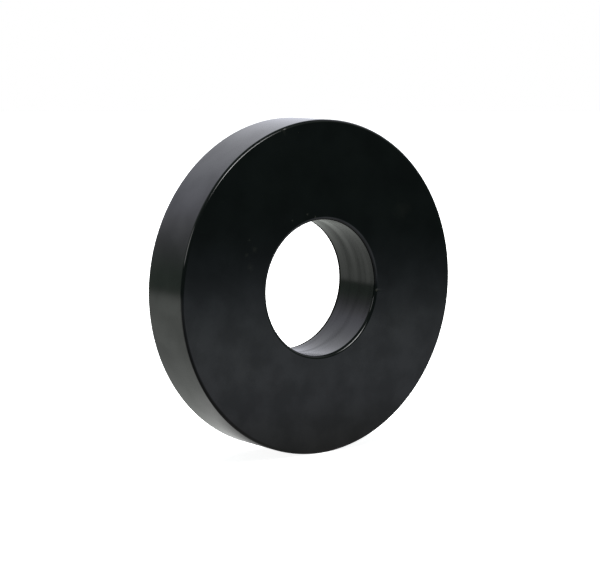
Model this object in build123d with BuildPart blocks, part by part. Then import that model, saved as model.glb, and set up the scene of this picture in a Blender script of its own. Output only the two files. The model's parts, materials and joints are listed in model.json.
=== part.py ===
from build123d import *

import os

# Ring insulator for a fence: one plain, thick, flat ring moulded in black polymer.
# Millimetres.  The ring stands upright: Z is up, the bore runs along Y, the front face
# looks along -Y, and the origin is the middle of the bore, halfway between the faces.

# Driving dimensions
outer_diameter = 75.0
bore_diameter = 30.4  # passes a 30 mm bar with 0.2 mm to spare all round
thickness = 13.5
rim_round = 0.65  # rounded edge between the rim and each flat face
front_mouth_round = 0.75  # rounded edge where the bore opens in the front face
back_mouth_round = 0.15  # the back mouth is nearly sharp, only its burr is broken

outer_radius = outer_diameter / 2
bore_radius = bore_diameter / 2
half_thickness = thickness / 2

with BuildPart() as insulator_ring:
    # The disc, pierced by the bore: the sketch lies halfway between the two faces.
    with BuildSketch(Plane.XZ):
        Circle(outer_radius)
        Circle(bore_radius, mode=Mode.SUBTRACT)
    extrude(amount=half_thickness, both=True)

    # Each flat face has two round edges: the smaller is the mouth of the bore.
    rings_by_radius = edges().filter_by(GeomType.CIRCLE).sort_by(SortBy.RADIUS)
    mouth_edges = rings_by_radius[:2].sort_by(Axis.Y)
    rim_edges = rings_by_radius[-2:]

    fillet(rim_edges, rim_round)
    fillet(mouth_edges[0], front_mouth_round)
    fillet(mouth_edges[-1], back_mouth_round)

insulator_ring.part.label = "insulator_ring"

os.makedirs("parts", exist_ok=True)
export_step(insulator_ring.part, "parts/insulator_ring.step")
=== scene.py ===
"""Ring insulator for a fence: one thick, flat ring of black polyamide, dressed for rendering.

The ring stands on its rim on a pale studio floor.  Lengths are in metres in the frame of
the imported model: Z is up, the bore runs along Y, and the front face looks along -Y.
A place on the ring is given by its clock angle, in degrees as seen from the front: 0 is on
the right and 90 at the top.  A place in the studio is given by its bearing, which is 0
along +Y and 90 along +X, and by its elevation above the horizon.
"""

import json
import logging
import math
from dataclasses import dataclass
from enum import Enum, IntEnum
from typing import Any, Iterable, NamedTuple, Sequence

import bpy
from mathutils import Matrix, Vector, noise

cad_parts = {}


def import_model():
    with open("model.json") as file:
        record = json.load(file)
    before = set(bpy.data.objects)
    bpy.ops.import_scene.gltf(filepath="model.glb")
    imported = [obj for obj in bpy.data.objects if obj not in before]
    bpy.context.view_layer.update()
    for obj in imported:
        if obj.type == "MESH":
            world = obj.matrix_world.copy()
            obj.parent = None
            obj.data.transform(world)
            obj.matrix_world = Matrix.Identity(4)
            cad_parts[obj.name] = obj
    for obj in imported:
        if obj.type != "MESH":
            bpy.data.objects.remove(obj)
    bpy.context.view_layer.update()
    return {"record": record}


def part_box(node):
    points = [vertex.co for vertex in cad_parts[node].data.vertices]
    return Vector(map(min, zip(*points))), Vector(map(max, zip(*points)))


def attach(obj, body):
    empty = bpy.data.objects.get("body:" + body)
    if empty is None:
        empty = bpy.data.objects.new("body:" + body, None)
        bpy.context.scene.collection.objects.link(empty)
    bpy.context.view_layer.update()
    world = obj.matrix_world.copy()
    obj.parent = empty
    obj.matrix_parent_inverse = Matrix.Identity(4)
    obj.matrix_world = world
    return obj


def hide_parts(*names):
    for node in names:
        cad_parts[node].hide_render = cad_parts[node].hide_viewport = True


LOG = logging.getLogger("ring_insulator")

MM = 0.001
CAD_NODE = "insulator_ring"
WHITE = "#FFFFFF"


class Zone(IntEnum):
    """The surfaces of the ring, in the order of their material slots."""

    FACE = 0
    RIM = 1
    BORE = 2
    DARK_BACK_EDGE = 3


class Seen(Enum):
    """What a piece of the studio is there for."""

    IN_VIEW = "in the camera's view"
    IN_GLOSS = "in the gloss of the ring"


# ------------------------------------------------------------------ shared helpers


def linear(colour: str) -> tuple[float, float, float, float]:
    """Turn an sRGB colour into the linear values that a shader takes.

    Args:
        colour: the colour as "#RRGGBB".

    Returns:
        Linear red, green and blue, and an alpha of 1.
    """
    shares = [int(colour[i : i + 2], 16) / 255 for i in (1, 3, 5)]
    parts = [s / 12.92 if s <= 0.04045 else ((s + 0.055) / 1.055) ** 2.4 for s in shares]
    return (*parts, 1.0)


def direction(bearing: float, elevation: float) -> Vector:
    """Give the unit vector from the ring to a place in the studio.

    Args:
        bearing: degrees from +Y towards +X.
        elevation: degrees above the horizon.

    Returns:
        The unit vector.
    """
    b, e = math.radians(bearing), math.radians(elevation)
    return Vector((math.sin(b) * math.cos(e), math.cos(b) * math.cos(e), math.sin(e)))


def smooth_step(share: float) -> float:
    """Ease a share from 0 to 1, level at both ends."""
    t = min(1.0, max(0.0, share))
    return t * t * (3 - 2 * t)


def add_node(
    tree: bpy.types.NodeTree,
    kind: str,
    settings: dict[str, Any] | None = None,
    stops: Sequence[tuple[float, str]] = (),
    **inputs: Any,
) -> bpy.types.Node:
    """Add one node with its settings and its links.

    Args:
        tree: the node tree that takes it.
        kind: the node's type, such as "ShaderNodeMix".
        settings: attributes of the node and their values.
        stops: the places and colours of a colour ramp.
        inputs: a value or an output socket for each input, under the input's name with _
            for a space, or under _ and the input's place, such as _0.

    Returns:
        The new node.
    """
    node = tree.nodes.new(kind)
    for name, value in (settings or {}).items():
        setattr(node, name, value)
    for position, _ in stops[1:-1]:
        node.color_ramp.elements.new(position)
    for i, (position, colour) in enumerate(stops):
        node.color_ramp.elements[i].position = position
        node.color_ramp.elements[i].color = linear(colour)
    for name, value in inputs.items():
        place = int(name[1:]) if name.startswith("_") else name.replace("_", " ")
        if isinstance(value, bpy.types.NodeSocket):
            tree.links.new(value, node.inputs[place])
        else:
            node.inputs[place].default_value = value
    return node


def new_material(name: str) -> tuple[bpy.types.Material, bpy.types.NodeTree]:
    """Make a material with an empty node tree.

    Args:
        name: the material's name.

    Returns:
        The material and its tree.
    """
    material = bpy.data.materials.new(name)
    material.use_nodes = True
    material.node_tree.nodes.clear()
    return material, material.node_tree


def new_object(
    name: str, points: Iterable[Vector], faces: Iterable[tuple[int, ...]]
) -> bpy.types.Object:
    """Make a smooth mesh object and put it in the scene.

    Args:
        name: the object's name.
        points: its vertices.
        faces: the vertices of each face.

    Returns:
        The new object.
    """
    mesh = bpy.data.meshes.new(name)
    mesh.from_pydata([tuple(p) for p in points], [], list(faces))
    mesh.polygons.foreach_set("use_smooth", [True] * len(mesh.polygons))
    mesh.update()
    made = bpy.data.objects.new(name, mesh)
    bpy.context.scene.collection.objects.link(made)
    return made


def new_dome(
    name: str, radius: float, lowest: float, rows: int, columns: int
) -> bpy.types.Object:
    """Make a dome round the ring, which is all but closed at the top.

    Args:
        name: the object's name.
        radius: its radius.
        lowest: the elevation of its lower edge, in degrees.
        rows: how many rows of faces it has.
        columns: how many columns of faces it has.

    Returns:
        The dome.
    """
    highest = 89.0
    points = [
        direction(360 * column / columns, lowest + (highest - lowest) * row / rows) * radius
        for row in range(rows + 1)
        for column in range(columns)
    ]
    faces = []
    for row in range(rows):
        for column in range(columns):
            a = row * columns + column
            b = row * columns + (column + 1) % columns
            faces.append((a, b, b + columns, a + columns))
    return new_object(name, points, faces)


def new_disc(name: str, radius: float, height: float) -> bpy.types.Object:
    """Make a flat round sheet that looks up.

    Args:
        name: the object's name.
        radius: its radius.
        height: how high its mesh lies.

    Returns:
        The sheet.
    """
    columns = 96
    middle = Vector((0, 0, height))
    edge = [direction(360 * i / columns, 0) * radius + middle for i in range(columns)]
    faces = [(0, 1 + (i + 1) % columns, 1 + i) for i in range(columns)]
    return new_object(name, [middle, *edge], faces)


def stage_unlit(made: bpy.types.Object, seen: Seen) -> bpy.types.Object:
    """Stage an object so that only the camera or only the ring's gloss meets it.

    Args:
        made: the object.
        seen: what it is there for.

    Returns:
        The same object.
    """
    made.visible_camera = seen is Seen.IN_VIEW
    made.visible_glossy = seen is Seen.IN_GLOSS
    made.visible_diffuse = False
    made.visible_transmission = False
    made.visible_shadow = False
    return made


# ------------------------------------------------------------------ marks on the ring


@dataclass(frozen=True)
class Mark:
    """A small mark on the ring, by where it is, how far it reaches and how pale it is."""

    clock: float
    radius: float
    depth: float
    reach: float
    paleness: float

    def middle(self) -> Vector:
        """Give the point at the middle of the mark."""
        clock = math.radians(self.clock)
        return Vector((self.radius * math.cos(clock), self.depth, self.radius * math.sin(clock)))


@dataclass(frozen=True)
class Smudge(Mark):
    """A faint mark that handling has left on the gloss, with a ragged outline."""

    ragged_detail: float = 3.0


@dataclass(frozen=True)
class Blemish(Mark):
    """A nick in an edge, where the surface is sunk and paler."""

    sunk: float


# ------------------------------------------------------------------ finishes


@dataclass(frozen=True)
class BlackPolyamide:
    """Black polyamide as its mould or its tool has left it."""

    # The body is almost as dark as a surface can be, so what the eye gets is gloss: pale
    # where the ring mirrors the paper and the lit sweep, and black where it mirrors the room.
    # A film of grease dulls the gloss in soft patches, which is what the second IOR is for.
    # The first starts from polyamide's 1.53.
    name: str = "black polyamide"
    body: str = "#070808"
    clouded: str = "#0B0D0D"
    dust: str = "#5E5C54"
    ior: float = 1.54
    filmed_ior: float = 1.45
    film_size: float = 7 * MM
    film_edge: tuple[float, float] = (0.38, 0.62)
    glossy: float = 0.05
    dull: float = 0.09
    cloud_size: float = 5 * MM
    handling_size: float = 12 * MM
    handled: tuple[float, float] = (0.3, 0.7)
    ripple_size: float = 4 * MM
    ripple_height: float = 0.4e-6
    # Real dust is about 0.1 mm.  Its grains are drawn up to 0.3 mm wide, so that they show.
    speck_size: float = 0.3 * MM
    speck_spacing: float = 6 * MM
    speck_edge: float = 0.3
    dustiness: float = 0.5
    smudges: tuple[Smudge, ...] = ()

    def relief(
        self, tree: bpy.types.NodeTree, place: bpy.types.NodeSocket
    ) -> bpy.types.NodeSocket:
        """Give the height of the surface's faint ripple.

        Args:
            tree: the material's tree.
            place: the point on the ring.

        Returns:
            The height in metres.
        """
        ripple = add_node(
            tree, "ShaderNodeTexNoise", Vector=place, Scale=1 / self.ripple_size, Detail=2.0
        )
        height = add_node(
            tree,
            "ShaderNodeMath",
            {"operation": "MULTIPLY"},
            _0=ripple.outputs["Fac"],
            _1=self.ripple_height,
        )
        return height.outputs[0]

    def grain(
        self, tree: bpy.types.NodeTree, place: bpy.types.NodeSocket
    ) -> bpy.types.NodeSocket:
        """Say where a point is for film and handling, which have no direction here."""
        return place

    def specks(
        self, tree: bpy.types.NodeTree, place: bpy.types.NodeSocket
    ) -> bpy.types.NodeSocket:
        """Mark the few grains of pale dust that lie on the surface.

        Args:
            tree: the material's tree.
            place: the point on the ring.

        Returns:
            The share of dust, from 0 to 1.
        """
        cells = add_node(tree, "ShaderNodeTexVoronoi", Vector=place, Scale=1 / self.speck_spacing)
        chance = add_node(tree, "ShaderNodeSeparateColor", _0=cells.outputs["Color"])
        size = self.speck_size / self.speck_spacing
        reach = add_node(
            tree,
            "ShaderNodeMath",
            {"operation": "MULTIPLY"},
            _0=chance.outputs[0],
            _1=size / 2,
        )
        inside = add_node(
            tree,
            "ShaderNodeMath",
            {"operation": "SUBTRACT"},
            _0=reach.outputs[0],
            _1=cells.outputs["Distance"],
        )
        speck = add_node(
            tree,
            "ShaderNodeMapRange",
            {"interpolation_type": "SMOOTHSTEP"},
            Value=inside.outputs[0],
            From_Max=self.speck_edge * size,
            To_Max=self.dustiness,
        )
        return speck.outputs[0]

    def stains(
        self, tree: bpy.types.NodeTree, place: bpy.types.NodeSocket
    ) -> list[bpy.types.NodeSocket]:
        """Mark the smudges.

        Args:
            tree: the material's tree.
            place: the point on the ring.

        Returns:
            The share of dust that each one brings.
        """
        found = []
        for smudge in self.smudges:
            away = add_node(
                tree,
                "ShaderNodeVectorMath",
                {"operation": "DISTANCE"},
                _0=place,
                _1=smudge.middle(),
            )
            ragged = add_node(
                tree,
                "ShaderNodeTexNoise",
                Vector=place,
                Scale=2 / smudge.reach,
                Detail=smudge.ragged_detail,
            )
            reach = add_node(
                tree,
                "ShaderNodeMath",
                {"operation": "MULTIPLY"},
                _0=ragged.outputs["Fac"],
                _1=2 * smudge.reach,
            )
            near = add_node(
                tree,
                "ShaderNodeMapRange",
                {"interpolation_type": "SMOOTHSTEP"},
                Value=away.outputs["Value"],
                From_Min=0.0,
                From_Max=reach.outputs[0],
                To_Min=smudge.paleness,
                To_Max=0.0,
            )
            found.append(near.outputs[0])
        return found

    def colour(
        self, tree: bpy.types.NodeTree, place: bpy.types.NodeSocket
    ) -> bpy.types.NodeSocket:
        """Give the colour of the body, with its clouds, its dust and its scuffs.

        Args:
            tree: the material's tree.
            place: the point on the ring.

        Returns:
            The colour.
        """
        clouds = add_node(
            tree, "ShaderNodeTexNoise", Vector=place, Scale=1 / self.cloud_size, Detail=4.0
        )
        body = add_node(
            tree,
            "ShaderNodeMix",
            {"data_type": "RGBA"},
            _0=clouds.outputs["Fac"],
            _6=linear(self.body),
            _7=linear(self.clouded),
        )
        scuffs = add_node(tree, "ShaderNodeAttribute", {"attribute_name": "scuff"})
        pale = self.specks(tree, place)
        for other in (scuffs.outputs["Fac"], *self.stains(tree, place)):
            both = add_node(tree, "ShaderNodeMath", {"operation": "MAXIMUM"}, _0=pale, _1=other)
            pale = both.outputs[0]
        dusty = add_node(
            tree,
            "ShaderNodeMix",
            {"data_type": "RGBA"},
            _0=pale,
            _6=body.outputs[2],
            _7=linear(self.dust),
        )
        return dusty.outputs[2]

    def roughness(
        self, tree: bpy.types.NodeTree, place: bpy.types.NodeSocket
    ) -> bpy.types.NodeSocket:
        """Give the roughness, which handling has raised in patches.

        Args:
            tree: the material's tree.
            place: the point on the ring.

        Returns:
            The roughness.
        """
        handling = add_node(
            tree,
            "ShaderNodeTexNoise",
            Vector=self.grain(tree, place),
            Scale=1 / self.handling_size,
            Detail=5.0,
        )
        roughness = add_node(
            tree,
            "ShaderNodeMapRange",
            Value=handling.outputs["Fac"],
            From_Min=self.handled[0],
            From_Max=self.handled[1],
            To_Min=self.glossy,
            To_Max=self.dull,
        )
        return roughness.outputs[0]

    def film(
        self, tree: bpy.types.NodeTree, place: bpy.types.NodeSocket
    ) -> bpy.types.NodeSocket:
        """Say how much of the film of grease covers a point.

        Args:
            tree: the material's tree.
            place: the point on the ring.

        Returns:
            The share of film, from 0 to 1.
        """
        patches = add_node(
            tree,
            "ShaderNodeTexNoise",
            Vector=self.grain(tree, place),
            Scale=1 / self.film_size,
            Detail=4.0,
        )
        share = add_node(
            tree,
            "ShaderNodeMapRange",
            Value=patches.outputs["Fac"],
            From_Min=self.film_edge[0],
            From_Max=self.film_edge[1],
        )
        return share.outputs[0]

    def brush(self, tree: bpy.types.NodeTree, shader: bpy.types.Node) -> None:
        """Give the gloss a direction, where the tool had one; it has none here."""

    def material(self) -> bpy.types.Material:
        """Make the Blender material.

        Returns:
            The material.
        """
        made, tree = new_material(self.name)
        place = add_node(tree, "ShaderNodeTexCoord").outputs["Object"]
        colour = self.colour(tree, place)
        roughness = self.roughness(tree, place)
        bump = add_node(tree, "ShaderNodeBump", Distance=1.0, Height=self.relief(tree, place))
        shaders = []
        for ior in (self.ior, self.filmed_ior):
            shader = add_node(
                tree,
                "ShaderNodeBsdfPrincipled",
                Base_Color=colour,
                Roughness=roughness,
                IOR=ior,
                Normal=bump.outputs[0],
            )
            self.brush(tree, shader)
            shaders.append(shader.outputs[0])
        mixed = add_node(
            tree, "ShaderNodeMixShader", Fac=self.film(tree, place), _1=shaders[0], _2=shaders[1]
        )
        add_node(tree, "ShaderNodeOutputMaterial", Surface=mixed.outputs[0])
        return made


@dataclass(frozen=True)
class MouldedFace(BlackPolyamide):
    """The flat faces and the rounded edges, pressed on a polished mould."""

    # A dark, slightly clouded mirror.
    name: str = "black polyamide, polished mould"
    clouded: str = "#171A19"
    cloud_size: float = 9 * MM


@dataclass(frozen=True)
class DrawnRim(BlackPolyamide):
    """The rim, drawn along the wall of the mould."""

    # Satin, so that what it mirrors is soft.
    name: str = "black polyamide, drawn rim"
    glossy: float = 0.12
    dull: float = 0.17
    dustiness: float = 0.15


@dataclass(frozen=True)
class BoredWall(BlackPolyamide):
    """The wall of the bore, cut with a boring tool that left fine lines round the hole."""

    # The lines spread what the wall mirrors along the bore, so that it looks softer than the
    # rim, and the film of grease is drawn out into dark streaks.  The wall mirrors less than
    # polyamide's IOR of 1.53 would make it, so its IORs are lower.  Real tool marks are about
    # 0.1 mm apart.  They are drawn 0.35 mm apart, so that they show.
    name: str = "black polyamide, bored"
    ior: float = 1.47
    filmed_ior: float = 1.3
    film_size: float = 2.4 * MM
    film_edge: tuple[float, float] = (0.44, 0.7)
    glossy: float = 0.16
    dull: float = 0.29
    handling_size: float = 2.5 * MM
    handled: tuple[float, float] = (0.44, 0.68)
    dustiness: float = 0.2
    streak_length: float = 30 * MM
    line_spacing: float = 0.35 * MM
    line_length: float = 25 * MM
    line_height: float = 2.0e-6
    spread: float = 0.5
    quarter_turn: float = 0.25

    def grain(
        self, tree: bpy.types.NodeTree, place: bpy.types.NodeSocket
    ) -> bpy.types.NodeSocket:
        """Draw the marks of film and handling out into streaks round the bore.

        Args:
            tree: the material's tree.
            place: the point on the ring.

        Returns:
            The point with its way round the bore squeezed.
        """
        drawn_out = self.handling_size / self.streak_length
        squeezed = add_node(
            tree, "ShaderNodeMapping", Vector=place, Scale=(drawn_out, 1.0, drawn_out)
        )
        return squeezed.outputs[0]

    def relief(
        self, tree: bpy.types.NodeTree, place: bpy.types.NodeSocket
    ) -> bpy.types.NodeSocket:
        """Give the height of the tool marks.

        Args:
            tree: the material's tree.
            place: the point on the ring.

        Returns:
            The height in metres.
        """
        drawn_out = self.line_spacing / self.line_length
        squeezed = add_node(
            tree, "ShaderNodeMapping", Vector=place, Scale=(drawn_out, 1.0, drawn_out)
        )
        lines = add_node(
            tree,
            "ShaderNodeTexNoise",
            Vector=squeezed.outputs[0],
            Scale=1 / self.line_spacing,
            Detail=2.0,
        )
        height = add_node(
            tree,
            "ShaderNodeMath",
            {"operation": "MULTIPLY"},
            _0=lines.outputs["Fac"],
            _1=self.line_height,
        )
        return height.outputs[0]

    def brush(self, tree: bpy.types.NodeTree, shader: bpy.types.Node) -> None:
        """Spread the gloss across the tool marks, which run round the bore's axis.

        Args:
            tree: the material's tree.
            shader: the shader that takes the direction.
        """
        round_bore = add_node(
            tree, "ShaderNodeTangent", {"direction_type": "RADIAL", "axis": "Y"}
        )
        tree.links.new(round_bore.outputs[0], shader.inputs["Tangent"])
        shader.inputs["Anisotropic"].default_value = self.spread
        shader.inputs["Anisotropic Rotation"].default_value = self.quarter_turn


@dataclass(frozen=True)
class DarkBackEdge(BlackPolyamide):
    """A dark, matt olive strip along the back edge of the bore."""

    # Matt, it hardly mirrors at all, so it reads as a dark line.  Its IORs are far below
    # polyamide's to give that.
    name: str = "black polyamide, scraped"
    body: str = "#15150C"
    clouded: str = "#1C1B12"
    ior: float = 1.2
    filmed_ior: float = 1.15
    glossy: float = 0.6
    dull: float = 0.75


# ------------------------------------------------------------------ the ring


class SectionPoint(NamedTuple):
    """A point of the ring's section, and the surface that starts there."""

    radius: float
    depth: float
    zone: Zone


@dataclass
class InsulatorRing:
    """The ring: a turned section with rounded edges, as slightly uneven as a moulding."""

    outer_radius: float
    bore_radius: float
    half_thickness: float
    rim_round: float = 0.65 * MM
    mouth_round: float = 0.75 * MM
    back_mouth_round: float = 0.15 * MM
    back_strip_width: float = 0.75 * MM
    segments: int = 720
    round_steps: int = 12
    back_round_steps: int = 4
    face_strips: int = 16
    wall_strips: int = 8
    narrow_strip: float = 0.06 * MM
    waviness: float = 3e-6
    wave_length: float = 18 * MM
    nick_inset: float = 0.5 * MM

    def nicks(self) -> list[Blemish]:
        """List the nicks in the front edges, one at the rim and one at the bore.

        Returns:
            The nicks.
        """
        front = -self.half_thickness
        outer, inner = self.outer_radius - self.nick_inset, self.bore_radius + self.nick_inset
        return [
            Blemish(106.7, outer, front, reach=0.5 * MM, paleness=0.25, sunk=0.06 * MM),
            Blemish(-6.0, inner, front, reach=0.45 * MM, paleness=1.0, sunk=0.02 * MM),
        ]

    def smudges(self) -> tuple[Smudge, ...]:
        """List the smudges and specks on the front face.

        Returns:
            The smudges.
        """
        # Each has a clock angle, a share of the ring's radius, a reach in mm and a paleness.
        wiped = (
            (35.0, 0.75, 3.2, 0.07),
            (217.0, 0.72, 4.5, 0.06),
            (330.0, 0.66, 5.0, 0.05),
        )
        scuffed = (
            (152.0, 0.56, 0.9, 0.16),
            (157.0, 0.60, 0.6, 0.2),
            (163.0, 0.55, 1.2, 0.12),
            (149.0, 0.62, 0.4, 0.3),
        )
        specks_over_bore = (
            (104.0, 0.46, 0.4, 0.5),
            (97.0, 0.43, 0.35, 0.6),
            (118.0, 0.47, 0.35, 0.4),
        )
        return tuple(
            Smudge(clock, share * self.outer_radius, -self.half_thickness, reach * MM, paleness)
            for clock, share, reach, paleness in wiped + scuffed + specks_over_bore
        )

    def round_edge(
        self, middle: tuple[float, float], size: float, start: float, steps: int, zone: Zone
    ) -> list[SectionPoint]:
        """Draw one rounded edge of the section, a quarter turn.

        Args:
            middle: the radius and depth of the middle of the arc.
            size: the radius of the arc.
            start: the angle where it starts, in degrees from outwards towards the back.
            steps: how many facets it has.
            zone: the surface it belongs to.

        Returns:
            Its points without the last.
        """
        angles = [math.radians(start + 90 * step / steps) for step in range(steps)]
        return [
            SectionPoint(middle[0] + size * math.cos(a), middle[1] + size * math.sin(a), zone)
            for a in angles
        ]

    def straight_side(
        self, start: tuple[float, float], end: tuple[float, float], steps: int, zone: Zone
    ) -> list[SectionPoint]:
        """Draw a straight side of the section, with a narrow strip at each end.

        Args:
            start: the radius and depth where it starts.
            end: the radius and depth where it ends.
            steps: how many strips there are between the two narrow ones.
            zone: the surface it belongs to.

        Returns:
            Its points without the last.
        """
        margin = self.narrow_strip / math.dist(start, end)
        shares = [0.0] + [margin + (1 - 2 * margin) * step / steps for step in range(steps + 1)]
        return [
            SectionPoint(
                start[0] + (end[0] - start[0]) * s, start[1] + (end[1] - start[1]) * s, zone
            )
            for s in shares
        ]

    def section(self) -> list[SectionPoint]:
        """Draw the closed section: out along the front face, and back through the bore.

        Returns:
            The points of the section.
        """
        outer, inner, half = self.outer_radius, self.bore_radius, self.half_thickness
        rim, mouth, back = self.rim_round, self.mouth_round, self.back_mouth_round
        face, wall, steps = self.face_strips, self.wall_strips, self.round_steps
        dark_strip = half - self.back_strip_width
        return [
            *self.straight_side((inner + mouth, -half), (outer - rim, -half), face, Zone.FACE),
            *self.round_edge((outer - rim, rim - half), rim, -90, steps, Zone.FACE),
            *self.straight_side((outer, rim - half), (outer, half - rim), wall, Zone.RIM),
            *self.round_edge((outer - rim, half - rim), rim, 0, steps, Zone.FACE),
            *self.straight_side((outer - rim, half), (inner + back, half), face, Zone.FACE),
            *self.round_edge(
                (inner + back, half - back), back, 90, self.back_round_steps, Zone.DARK_BACK_EDGE
            ),
            SectionPoint(inner, half - back, Zone.DARK_BACK_EDGE),
            *self.straight_side((inner, dark_strip), (inner, mouth - half), wall, Zone.BORE),
            *self.round_edge((inner + mouth, mouth - half), mouth, 180, steps, Zone.FACE),
        ]

    def outward(self, section: list[SectionPoint]) -> list[tuple[float, float]]:
        """Find which way the surface looks at each point of the section.

        Args:
            section: the points of the section.

        Returns:
            The radial and the depth part of a unit vector for each point.
        """
        found = []
        for i, after in enumerate(section[1:] + section[:1]):
            before = section[i - 1]
            along = Vector((after.radius - before.radius, after.depth - before.depth))
            along.normalize()
            found.append((along.y, -along.x))
        return found

    def flaw(self, nicks: list[Blemish], at: Vector) -> tuple[float, float]:
        """Work out how the nicks sink and bleach the surface at a point.

        Args:
            nicks: the nicks.
            at: the point.

        Returns:
            How far it is sunk in metres, and the paleness from 0 to 1.
        """
        sunk, paleness = 0.0, 0.0
        for nick in nicks:
            near = smooth_step(1 - (at - nick.middle()).length / nick.reach)
            sunk += nick.sunk * near
            paleness = max(paleness, nick.paleness * near)
        return sunk, paleness

    def build(self) -> bpy.types.Object:
        """Turn the section round the bore's axis, with its waves and nicks.

        Returns:
            The ring.
        """
        section, nicks = self.section(), self.nicks()
        looks = self.outward(section)
        count = len(section)
        points, faces, scuffs = [], [], []
        for turn in range(self.segments):
            clock = 2 * math.pi * turn / self.segments
            side = Vector((math.cos(clock), 0, math.sin(clock)))
            for point, (radial, axial) in zip(section, looks):
                at = side * point.radius + Vector((0, point.depth, 0))
                sunk, paleness = self.flaw(nicks, at)
                # A wave only ever sinks the surface, so the ring stays inside its size.
                sunk += (1 - noise.noise(at / self.wave_length)) * self.waviness
                points.append(at - (side * radial + Vector((0, axial, 0))) * sunk)
                scuffs.append(paleness)
            here, there = turn * count, (turn + 1) % self.segments * count
            for i in range(count):
                j = (i + 1) % count
                faces.append((here + i, here + j, there + j, there + i))
        ring = new_object("moulded_ring", points, faces)
        slots = [int(point.zone) for point in section] * self.segments
        ring.data.polygons.foreach_set("material_index", slots)
        scuff = ring.data.attributes.new("scuff", "FLOAT", "POINT")
        scuff.data.foreach_set("value", scuffs)
        return ring

    def dress(self, ring: bpy.types.Object) -> None:
        """Give each surface of the ring its finish, in the order of the zones.

        Args:
            ring: the ring.
        """
        face = MouldedFace(smudges=self.smudges())
        for finish in (face, DrawnRim(), BoredWall(), DarkBackEdge()):
            ring.data.materials.append(finish.material())


# ------------------------------------------------------------------ the studio


@dataclass
class LitSweep:
    """The lit sweep above and behind the ring, a round glow that fades towards the room.

    Each tone stands at its angle from the middle of the glow, in degrees.
    """

    bearing: float = 35.0
    elevation: float = 45.0
    reach: float = 90.0
    edge: float = 1.05
    lowest: float = -45.0
    top: tuple[float, float] = (42.0, 56.0)
    distance: float = 1.6
    glow: float = 1.33
    tones: tuple[tuple[float, str], ...] = (
        (20.0, "#F4F6FF"),
        (40.0, "#E4E6F2"),
        (50.0, "#D7D8E4"),
        (56.0, "#C0C1C8"),
        (62.0, "#A3A5AA"),
        (66.0, "#8E9192"),
        (74.0, "#717E75"),
        (90.0, "#626D65"),
    )

    def material(self) -> bpy.types.Material:
        """Light the cloth of the sweep, and leave it clear outside the glow.

        Returns:
            The material.
        """
        # It gives the rim its pale upper part, which darkens down to the level of the bore.
        made, tree = new_material("white sweep, lit")
        place = add_node(tree, "ShaderNodeTexCoord").outputs["Object"]
        unit = add_node(tree, "ShaderNodeVectorMath", {"operation": "NORMALIZE"}, _0=place)
        towards = add_node(
            tree,
            "ShaderNodeVectorMath",
            {"operation": "DOT_PRODUCT"},
            _0=unit.outputs[0],
            _1=direction(self.bearing, self.elevation),
        )
        away = add_node(
            tree, "ShaderNodeMath", {"operation": "ARCCOSINE"}, _0=towards.outputs["Value"]
        )
        share = add_node(
            tree,
            "ShaderNodeMath",
            {"operation": "DIVIDE"},
            _0=away.outputs[0],
            _1=math.radians(self.reach),
        )
        tone = add_node(
            tree,
            "ShaderNodeValToRGB",
            stops=[(degrees / self.reach, colour) for degrees, colour in self.tones],
            Fac=share.outputs[0],
        )
        glow = add_node(
            tree, "ShaderNodeEmission", Color=tone.outputs[0], Strength=self.glow
        )
        height = add_node(tree, "ShaderNodeSeparateXYZ", _0=unit.outputs[0])
        below_top = add_node(
            tree,
            "ShaderNodeMapRange",
            {"interpolation_type": "SMOOTHSTEP"},
            Value=height.outputs[2],
            From_Min=math.sin(math.radians(self.top[0])),
            From_Max=math.sin(math.radians(self.top[1])),
            To_Min=1.0,
            To_Max=0.0,
        )
        inside = add_node(
            tree,
            "ShaderNodeMapRange",
            Value=share.outputs[0],
            From_Min=1.0,
            From_Max=self.edge,
            To_Min=1.0,
            To_Max=0.0,
        )
        shown = add_node(
            tree,
            "ShaderNodeMath",
            {"operation": "MULTIPLY"},
            _0=below_top.outputs[0],
            _1=inside.outputs[0],
        )
        clear = add_node(tree, "ShaderNodeBsdfTransparent")
        mixed = add_node(
            tree,
            "ShaderNodeMixShader",
            Fac=shown.outputs[0],
            _1=clear.outputs[0],
            _2=glow.outputs[0],
        )
        add_node(tree, "ShaderNodeOutputMaterial", Surface=mixed.outputs[0])
        return made

    def build(self) -> bpy.types.Object:
        """Build the sweep as a dome round the ring, and light it.

        Returns:
            The sweep.
        """
        dome = new_dome("lit_sweep", self.distance, self.lowest, rows=24, columns=72)
        dome.data.materials.append(self.material())
        return stage_unlit(dome, Seen.IN_GLOSS)


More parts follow.
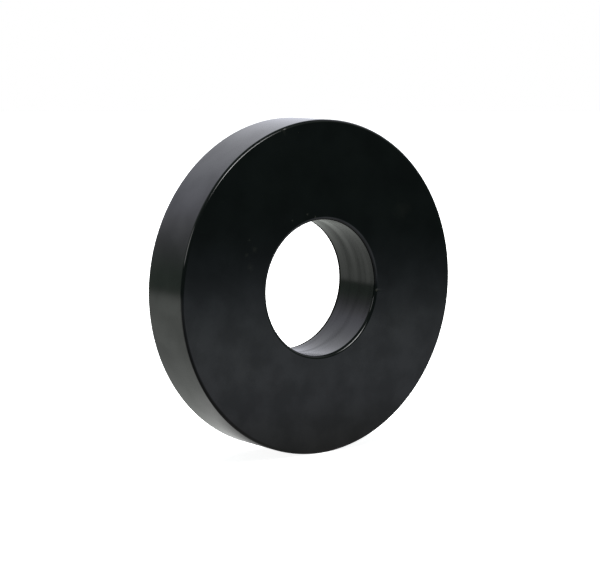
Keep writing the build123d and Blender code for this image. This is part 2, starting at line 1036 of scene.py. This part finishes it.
@dataclass
class TablePaper:
    """The paper on the table: a painted pool of light behind the ring that fades outwards.

    Lengths here are in radii of the ring, apart from the gap.  The tones stand at their
    distance from the middle of the pool, and the colours laid over them at their depth in the
    studio.  Those colours paint the ring's shadow on the paper under and in front of the ring,
    with a brighter band just behind it, and the shade is painted shade in front on the left.
    """

    ring_radius: float
    middle: tuple[float, float] = (-1.0, 1.5)
    reach: float = 20.0
    gap: float = 0.1 * MM
    tones: tuple[tuple[float, str], ...] = (
        (4.5, "#FFFFFF"),
        (6.4, "#F7F7F7"),
        (8.0, "#E6E6E6"),
        (9.4, "#D2D2D2"),
        (10.8, "#B8B8B8"),
        (12.2, "#A6A6A6"),
        (14.0, "#848484"),
        (16.0, "#666666"),
        (20.0, "#000000"),
    )
    depths: tuple[float, float] = (-10.0, 3.0)
    # Painted shadow: the grey stops near depth 0 paint the ring's shadow under it, the stops in
    # front paint its shade there, and the stop at 0.36 paints a brighter band behind it.
    tints_and_painted_shadow: tuple[tuple[float, str], ...] = (
        (-9.0, "#CDD7E8"),
        (-4.5, "#D4DBE2"),
        (-1.6, "#BEC2CA"),
        (-0.25, "#989898"),
        (0.1, "#8C8C8C"),
        (0.25, "#CACBCA"),
        (0.36, "#EEF0EE"),
        (0.6, "#D9DDD9"),
        (2.6, "#DEE4DE"),
    )
    # Painted shade: the paper's glow is dimmed to this share in front on the left of the ring.
    shade: float = 0.35
    shade_ends_right: tuple[float, float] = (-1.4, 0.2)
    shade_ends_behind: tuple[float, float] = (-0.1, 0.3)

    def strength(
        self, tree: bpy.types.NodeTree, apart: bpy.types.Node
    ) -> bpy.types.NodeSocket:
        """Say how much light is left in the painted shade in front on the left.

        Args:
            tree: the material's tree.
            apart: the node that gives a point's distances from the middle of the pool.

        Returns:
            The strength of the light.
        """
        ends = (self.shade_ends_right, self.shade_ends_behind)
        right, behind = [
            add_node(
                tree,
                "ShaderNodeMapRange",
                {"interpolation_type": "SMOOTHSTEP"},
                Value=apart.outputs[axis],
                From_Min=(dark - self.middle[axis]) * self.ring_radius,
                From_Max=(bright - self.middle[axis]) * self.ring_radius,
                To_Min=self.shade,
                To_Max=1.0,
            ).outputs[0]
            for axis, (dark, bright) in enumerate(ends)
        ]
        lit = add_node(tree, "ShaderNodeMath", {"operation": "MAXIMUM"}, _0=right, _1=behind)
        return lit.outputs[0]

    def material(self) -> bpy.types.Material:
        """Paint the pool of light and the ring's shadow into the paper's glow, and let it fade
        into the room.

        Returns:
            The material.
        """
        # It gives the front face its soft grey lower half, and the rim its lower part.
        made, tree = new_material("white paper, lit pool")
        place = add_node(tree, "ShaderNodeTexCoord").outputs["Object"]
        away = add_node(tree, "ShaderNodeVectorMath", {"operation": "LENGTH"}, _0=place)
        share = add_node(
            tree,
            "ShaderNodeMath",
            {"operation": "DIVIDE"},
            _0=away.outputs["Value"],
            _1=self.reach * self.ring_radius,
        )
        pool = add_node(
            tree,
            "ShaderNodeValToRGB",
            stops=[(radii / self.reach, colour) for radii, colour in self.tones],
            Fac=share.outputs[0],
        ).outputs[0]
        apart = add_node(tree, "ShaderNodeSeparateXYZ", _0=place)
        front, back = self.depths
        through = add_node(
            tree,
            "ShaderNodeMapRange",
            Value=apart.outputs[1],
            From_Min=(front - self.middle[1]) * self.ring_radius,
            From_Max=(back - self.middle[1]) * self.ring_radius,
        )
        # The ring's painted shadow across the paper, by depth.
        tint_and_shadow = add_node(
            tree,
            "ShaderNodeValToRGB",
            stops=[((radii - front) / (back - front), colour) for radii, colour in self.tints_and_painted_shadow],
            Fac=through.outputs[0],
        )
        tone = add_node(
            tree,
            "ShaderNodeMix",
            {"data_type": "RGBA", "blend_type": "MULTIPLY"},
            _0=1.0,
            _6=pool,
            _7=tint_and_shadow.outputs[0],
        )
        glow = add_node(
            tree,
            "ShaderNodeEmission",
            Color=tone.outputs[2],
            Strength=self.strength(tree, apart),
        )
        clear = add_node(tree, "ShaderNodeBsdfTransparent")
        mixed = add_node(
            tree, "ShaderNodeMixShader", Fac=pool, _1=clear.outputs[0], _2=glow.outputs[0]
        )
        add_node(tree, "ShaderNodeOutputMaterial", Surface=mixed.outputs[0])
        return made

    def build(self) -> bpy.types.Object:
        """Lay the paper just under the ring, and light it.

        Returns:
            The paper.
        """
        paper = new_disc("table_paper", self.reach * self.ring_radius, 0.0)
        across, behind = self.middle
        paper.location = (
            across * self.ring_radius,
            behind * self.ring_radius,
            -self.ring_radius - self.gap,
        )
        paper.data.materials.append(self.material())
        return stage_unlit(paper, Seen.IN_GLOSS)


@dataclass
class SoftPanel:
    """A soft panel of light on a sphere round the ring, seen only in the ring's gloss."""

    name: str
    bearings: tuple[float, float]
    elevations: tuple[float, float]
    glow: float
    fade: tuple[float, float] = (0.2, 0.2)
    distance: float = 1.2
    steps: int = 16

    def material(self) -> bpy.types.Material:
        """Light the cloth of the panel, so that it fades out towards its edges.

        Returns:
            The material.
        """
        # Lit from behind and brightest in the middle, it gives the rounded edges a highlight
        # with soft ends.
        made, tree = new_material("white diffusion cloth, lit")
        across_and_up = add_node(
            tree, "ShaderNodeSeparateXYZ", _0=add_node(tree, "ShaderNodeUVMap").outputs[0]
        )
        strength = self.glow
        for axis, fade in enumerate(self.fade):
            share = across_and_up.outputs[axis]
            other = add_node(tree, "ShaderNodeMath", {"operation": "SUBTRACT"}, _0=1.0, _1=share)
            edge = add_node(
                tree, "ShaderNodeMath", {"operation": "MINIMUM"}, _0=share, _1=other.outputs[0]
            )
            eased = add_node(
                tree,
                "ShaderNodeMapRange",
                {"interpolation_type": "SMOOTHSTEP"},
                Value=edge.outputs[0],
                From_Max=fade,
            )
            product = add_node(
                tree,
                "ShaderNodeMath",
                {"operation": "MULTIPLY"},
                _0=eased.outputs[0],
                _1=strength,
            )
            strength = product.outputs[0]
        glow = add_node(tree, "ShaderNodeEmission", Color=linear(WHITE), Strength=strength)
        clear = add_node(tree, "ShaderNodeBsdfTransparent")
        both = add_node(tree, "ShaderNodeAddShader", _0=glow.outputs[0], _1=clear.outputs[0])
        add_node(tree, "ShaderNodeOutputMaterial", Surface=both.outputs[0])
        return made

    def build(self) -> bpy.types.Object:
        """Build the curved panel and light it.

        Returns:
            The panel.
        """
        n = self.steps
        shares = [(column / n, row / n) for row in range(n + 1) for column in range(n + 1)]
        (left, right), (low, high) = self.bearings, self.elevations
        points = [
            direction(left + (right - left) * across, low + (high - low) * up) * self.distance
            for across, up in shares
        ]
        corners = [row * (n + 1) + column for row in range(n) for column in range(n)]
        faces = [(a, a + 1, a + n + 2, a + n + 1) for a in corners]
        panel = new_object(self.name, points, faces)
        layer = panel.data.uv_layers.new(name="across_and_up")
        for loop in panel.data.loops:
            layer.data[loop.index].uv = shares[loop.vertex_index]
        panel.data.materials.append(self.material())
        return stage_unlit(panel, Seen.IN_GLOSS)


@dataclass
class Studio:
    """The pale floor and surround in view, the room, and what the ring mirrors."""

    ring_radius: float
    floor_radius: float = 2.0
    floor_tones: tuple[str, str] = ("#F7F7F7", WHITE)
    floor_grain: float = 2.5 * MM
    floor_roughness: float = 0.9
    floor_glow: tuple[float, float] = (0.93, 1.0)
    glow_reach: tuple[float, float] = (3.0, 9.0)
    surround_lowest: float = -10.0
    lamp_height: float = 1.3
    lamp_size: float = 1.4
    lamp_power: float = 40.0
    room: str = "#455250"

    def floor(self) -> bpy.types.Object:
        """Build the pale floor, with a faint soft shadow where the ring stands.

        Returns:
            The floor.
        """
        floor = new_disc("floor", self.floor_radius, -self.ring_radius)
        floor.visible_glossy = False
        floor.visible_diffuse = False
        # Bright enough to have no horizon, it shows only the shadow under the ring.
        material, tree = new_material("white paper, matt")
        place = add_node(tree, "ShaderNodeTexCoord").outputs["Object"]
        grain = add_node(
            tree, "ShaderNodeTexNoise", Vector=place, Scale=1 / self.floor_grain, Detail=2.0
        )
        tone = add_node(
            tree,
            "ShaderNodeMix",
            {"data_type": "RGBA"},
            _0=grain.outputs["Fac"],
            _6=linear(self.floor_tones[0]),
            _7=linear(self.floor_tones[1]),
        )
        away = add_node(tree, "ShaderNodeVectorMath", {"operation": "LENGTH"}, _0=place)
        lit = add_node(
            tree,
            "ShaderNodeMapRange",
            Value=away.outputs["Value"],
            From_Min=self.glow_reach[0] * self.ring_radius,
            From_Max=self.glow_reach[1] * self.ring_radius,
            To_Min=self.floor_glow[0],
            To_Max=self.floor_glow[1],
        )
        shader = add_node(
            tree,
            "ShaderNodeBsdfPrincipled",
            Base_Color=tone.outputs[2],
            Roughness=self.floor_roughness,
            Emission_Color=linear(WHITE),
            Emission_Strength=lit.outputs[0],
        )
        add_node(tree, "ShaderNodeOutputMaterial", Surface=shader.outputs[0])
        floor.data.materials.append(material)
        return floor

    def surround(self) -> bpy.types.Object:
        """Build the white surround that the camera sees behind the ring.

        Returns:
            The surround.
        """
        surround = new_dome(
            "surround", self.floor_radius, self.surround_lowest, rows=12, columns=48
        )
        # It is as white as the floor, so the ring stands alone.
        material, tree = new_material("white paper, lit evenly")
        glow = add_node(tree, "ShaderNodeEmission", Color=linear(WHITE))
        add_node(tree, "ShaderNodeOutputMaterial", Surface=glow.outputs[0])
        surround.data.materials.append(material)
        return stage_unlit(surround, Seen.IN_VIEW)

    def lamp(self) -> bpy.types.Object:
        """Hang the large soft lamp that lights the floor.

        Returns:
            The lamp.
        """
        data = bpy.data.lights.new("overhead_lamp", "AREA")
        data.shape = "SQUARE"
        data.size = self.lamp_size
        data.energy = self.lamp_power
        lamp = bpy.data.objects.new("overhead_lamp", data)
        lamp.location = (0, 0, self.lamp_height)
        lamp.visible_camera = False
        lamp.visible_glossy = False
        bpy.context.scene.collection.objects.link(lamp)
        return lamp

    def air(self) -> None:
        """Make the dim room that the gloss shows where nothing lit stands."""
        world = bpy.data.worlds.new("dim room")
        world.use_nodes = True
        background = world.node_tree.nodes["Background"]
        background.inputs["Color"].default_value = linear(self.room)
        bpy.context.scene.world = world

    def build(self) -> None:
        """Build the whole studio and report its pieces."""
        self.air()
        made = [
            self.floor(),
            self.surround(),
            self.lamp(),
            LitSweep().build(),
            TablePaper(self.ring_radius).build(),
            SoftPanel(
                "front_softbox",
                bearings=(197.0, 148.0),
                elevations=(23.0, 41.0),
                glow=12.0,
                fade=(0.45, 0.1),
            ).build(),
            SoftPanel(
                "left_panel", bearings=(-115.0, -76.0), elevations=(10.0, 34.0), glow=2.2
            ).build(),
        ]
        for piece in made:
            LOG.info("studio: %s", piece.name)


@dataclass
class Viewpoint:
    """The camera: a long lens, to the left of the front face and a little above it.

    Its distance and its aim, to the right and up, are in radii of the ring.
    """

    ring_radius: float
    azimuth: float = -36.92
    elevation: float = 7.216
    distance: float = 11.968
    aim_right: float = -0.0247
    aim_up: float = -0.0085
    sensor: float = 36.0
    lens: float = 119.42

    def build(self, centre: Vector) -> bpy.types.Object:
        """Put the camera in its place.

        Args:
            centre: the middle of the bore.

        Returns:
            The camera.
        """
        back = direction(180 - self.azimuth, self.elevation)
        right = direction(90 - self.azimuth, 0)
        up = back.cross(right)
        aim = centre + (right * self.aim_right + up * self.aim_up) * self.ring_radius
        data = bpy.data.cameras.new("camera")
        data.lens = self.lens
        data.sensor_width = self.sensor
        camera = bpy.data.objects.new("camera", data)
        place = Matrix.Translation(aim + back * self.distance * self.ring_radius)
        camera.matrix_world = place @ Matrix((right, up, back)).transposed().to_4x4()
        bpy.context.scene.collection.objects.link(camera)
        bpy.context.scene.camera = camera
        return camera


def main() -> None:
    """Build the ring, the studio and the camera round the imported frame."""
    logging.basicConfig(level=logging.INFO, format="%(name)s: %(message)s")
    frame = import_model()
    low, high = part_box(CAD_NODE)
    bore = next(mount for mount in frame["record"]["mounts"] if mount["name"] == "bore")
    radius = (high.x - low.x) / 2

    ring = InsulatorRing(radius, bore["dims"]["r_mm"] * MM, (high.y - low.y) / 2)
    piece = ring.build()
    ring.dress(piece)
    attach(piece, "root")
    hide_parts(CAD_NODE)
    LOG.info("%s: %d faces", piece.name, len(piece.data.polygons))

    Studio(radius).build()
    camera = Viewpoint(radius).build((low + high) / 2)
    LOG.info("%s at %s", camera.name, tuple(round(x, 4) for x in camera.location))
    bpy.context.scene.view_settings.view_transform = "Standard"


if __name__ == "__main__":
    main()
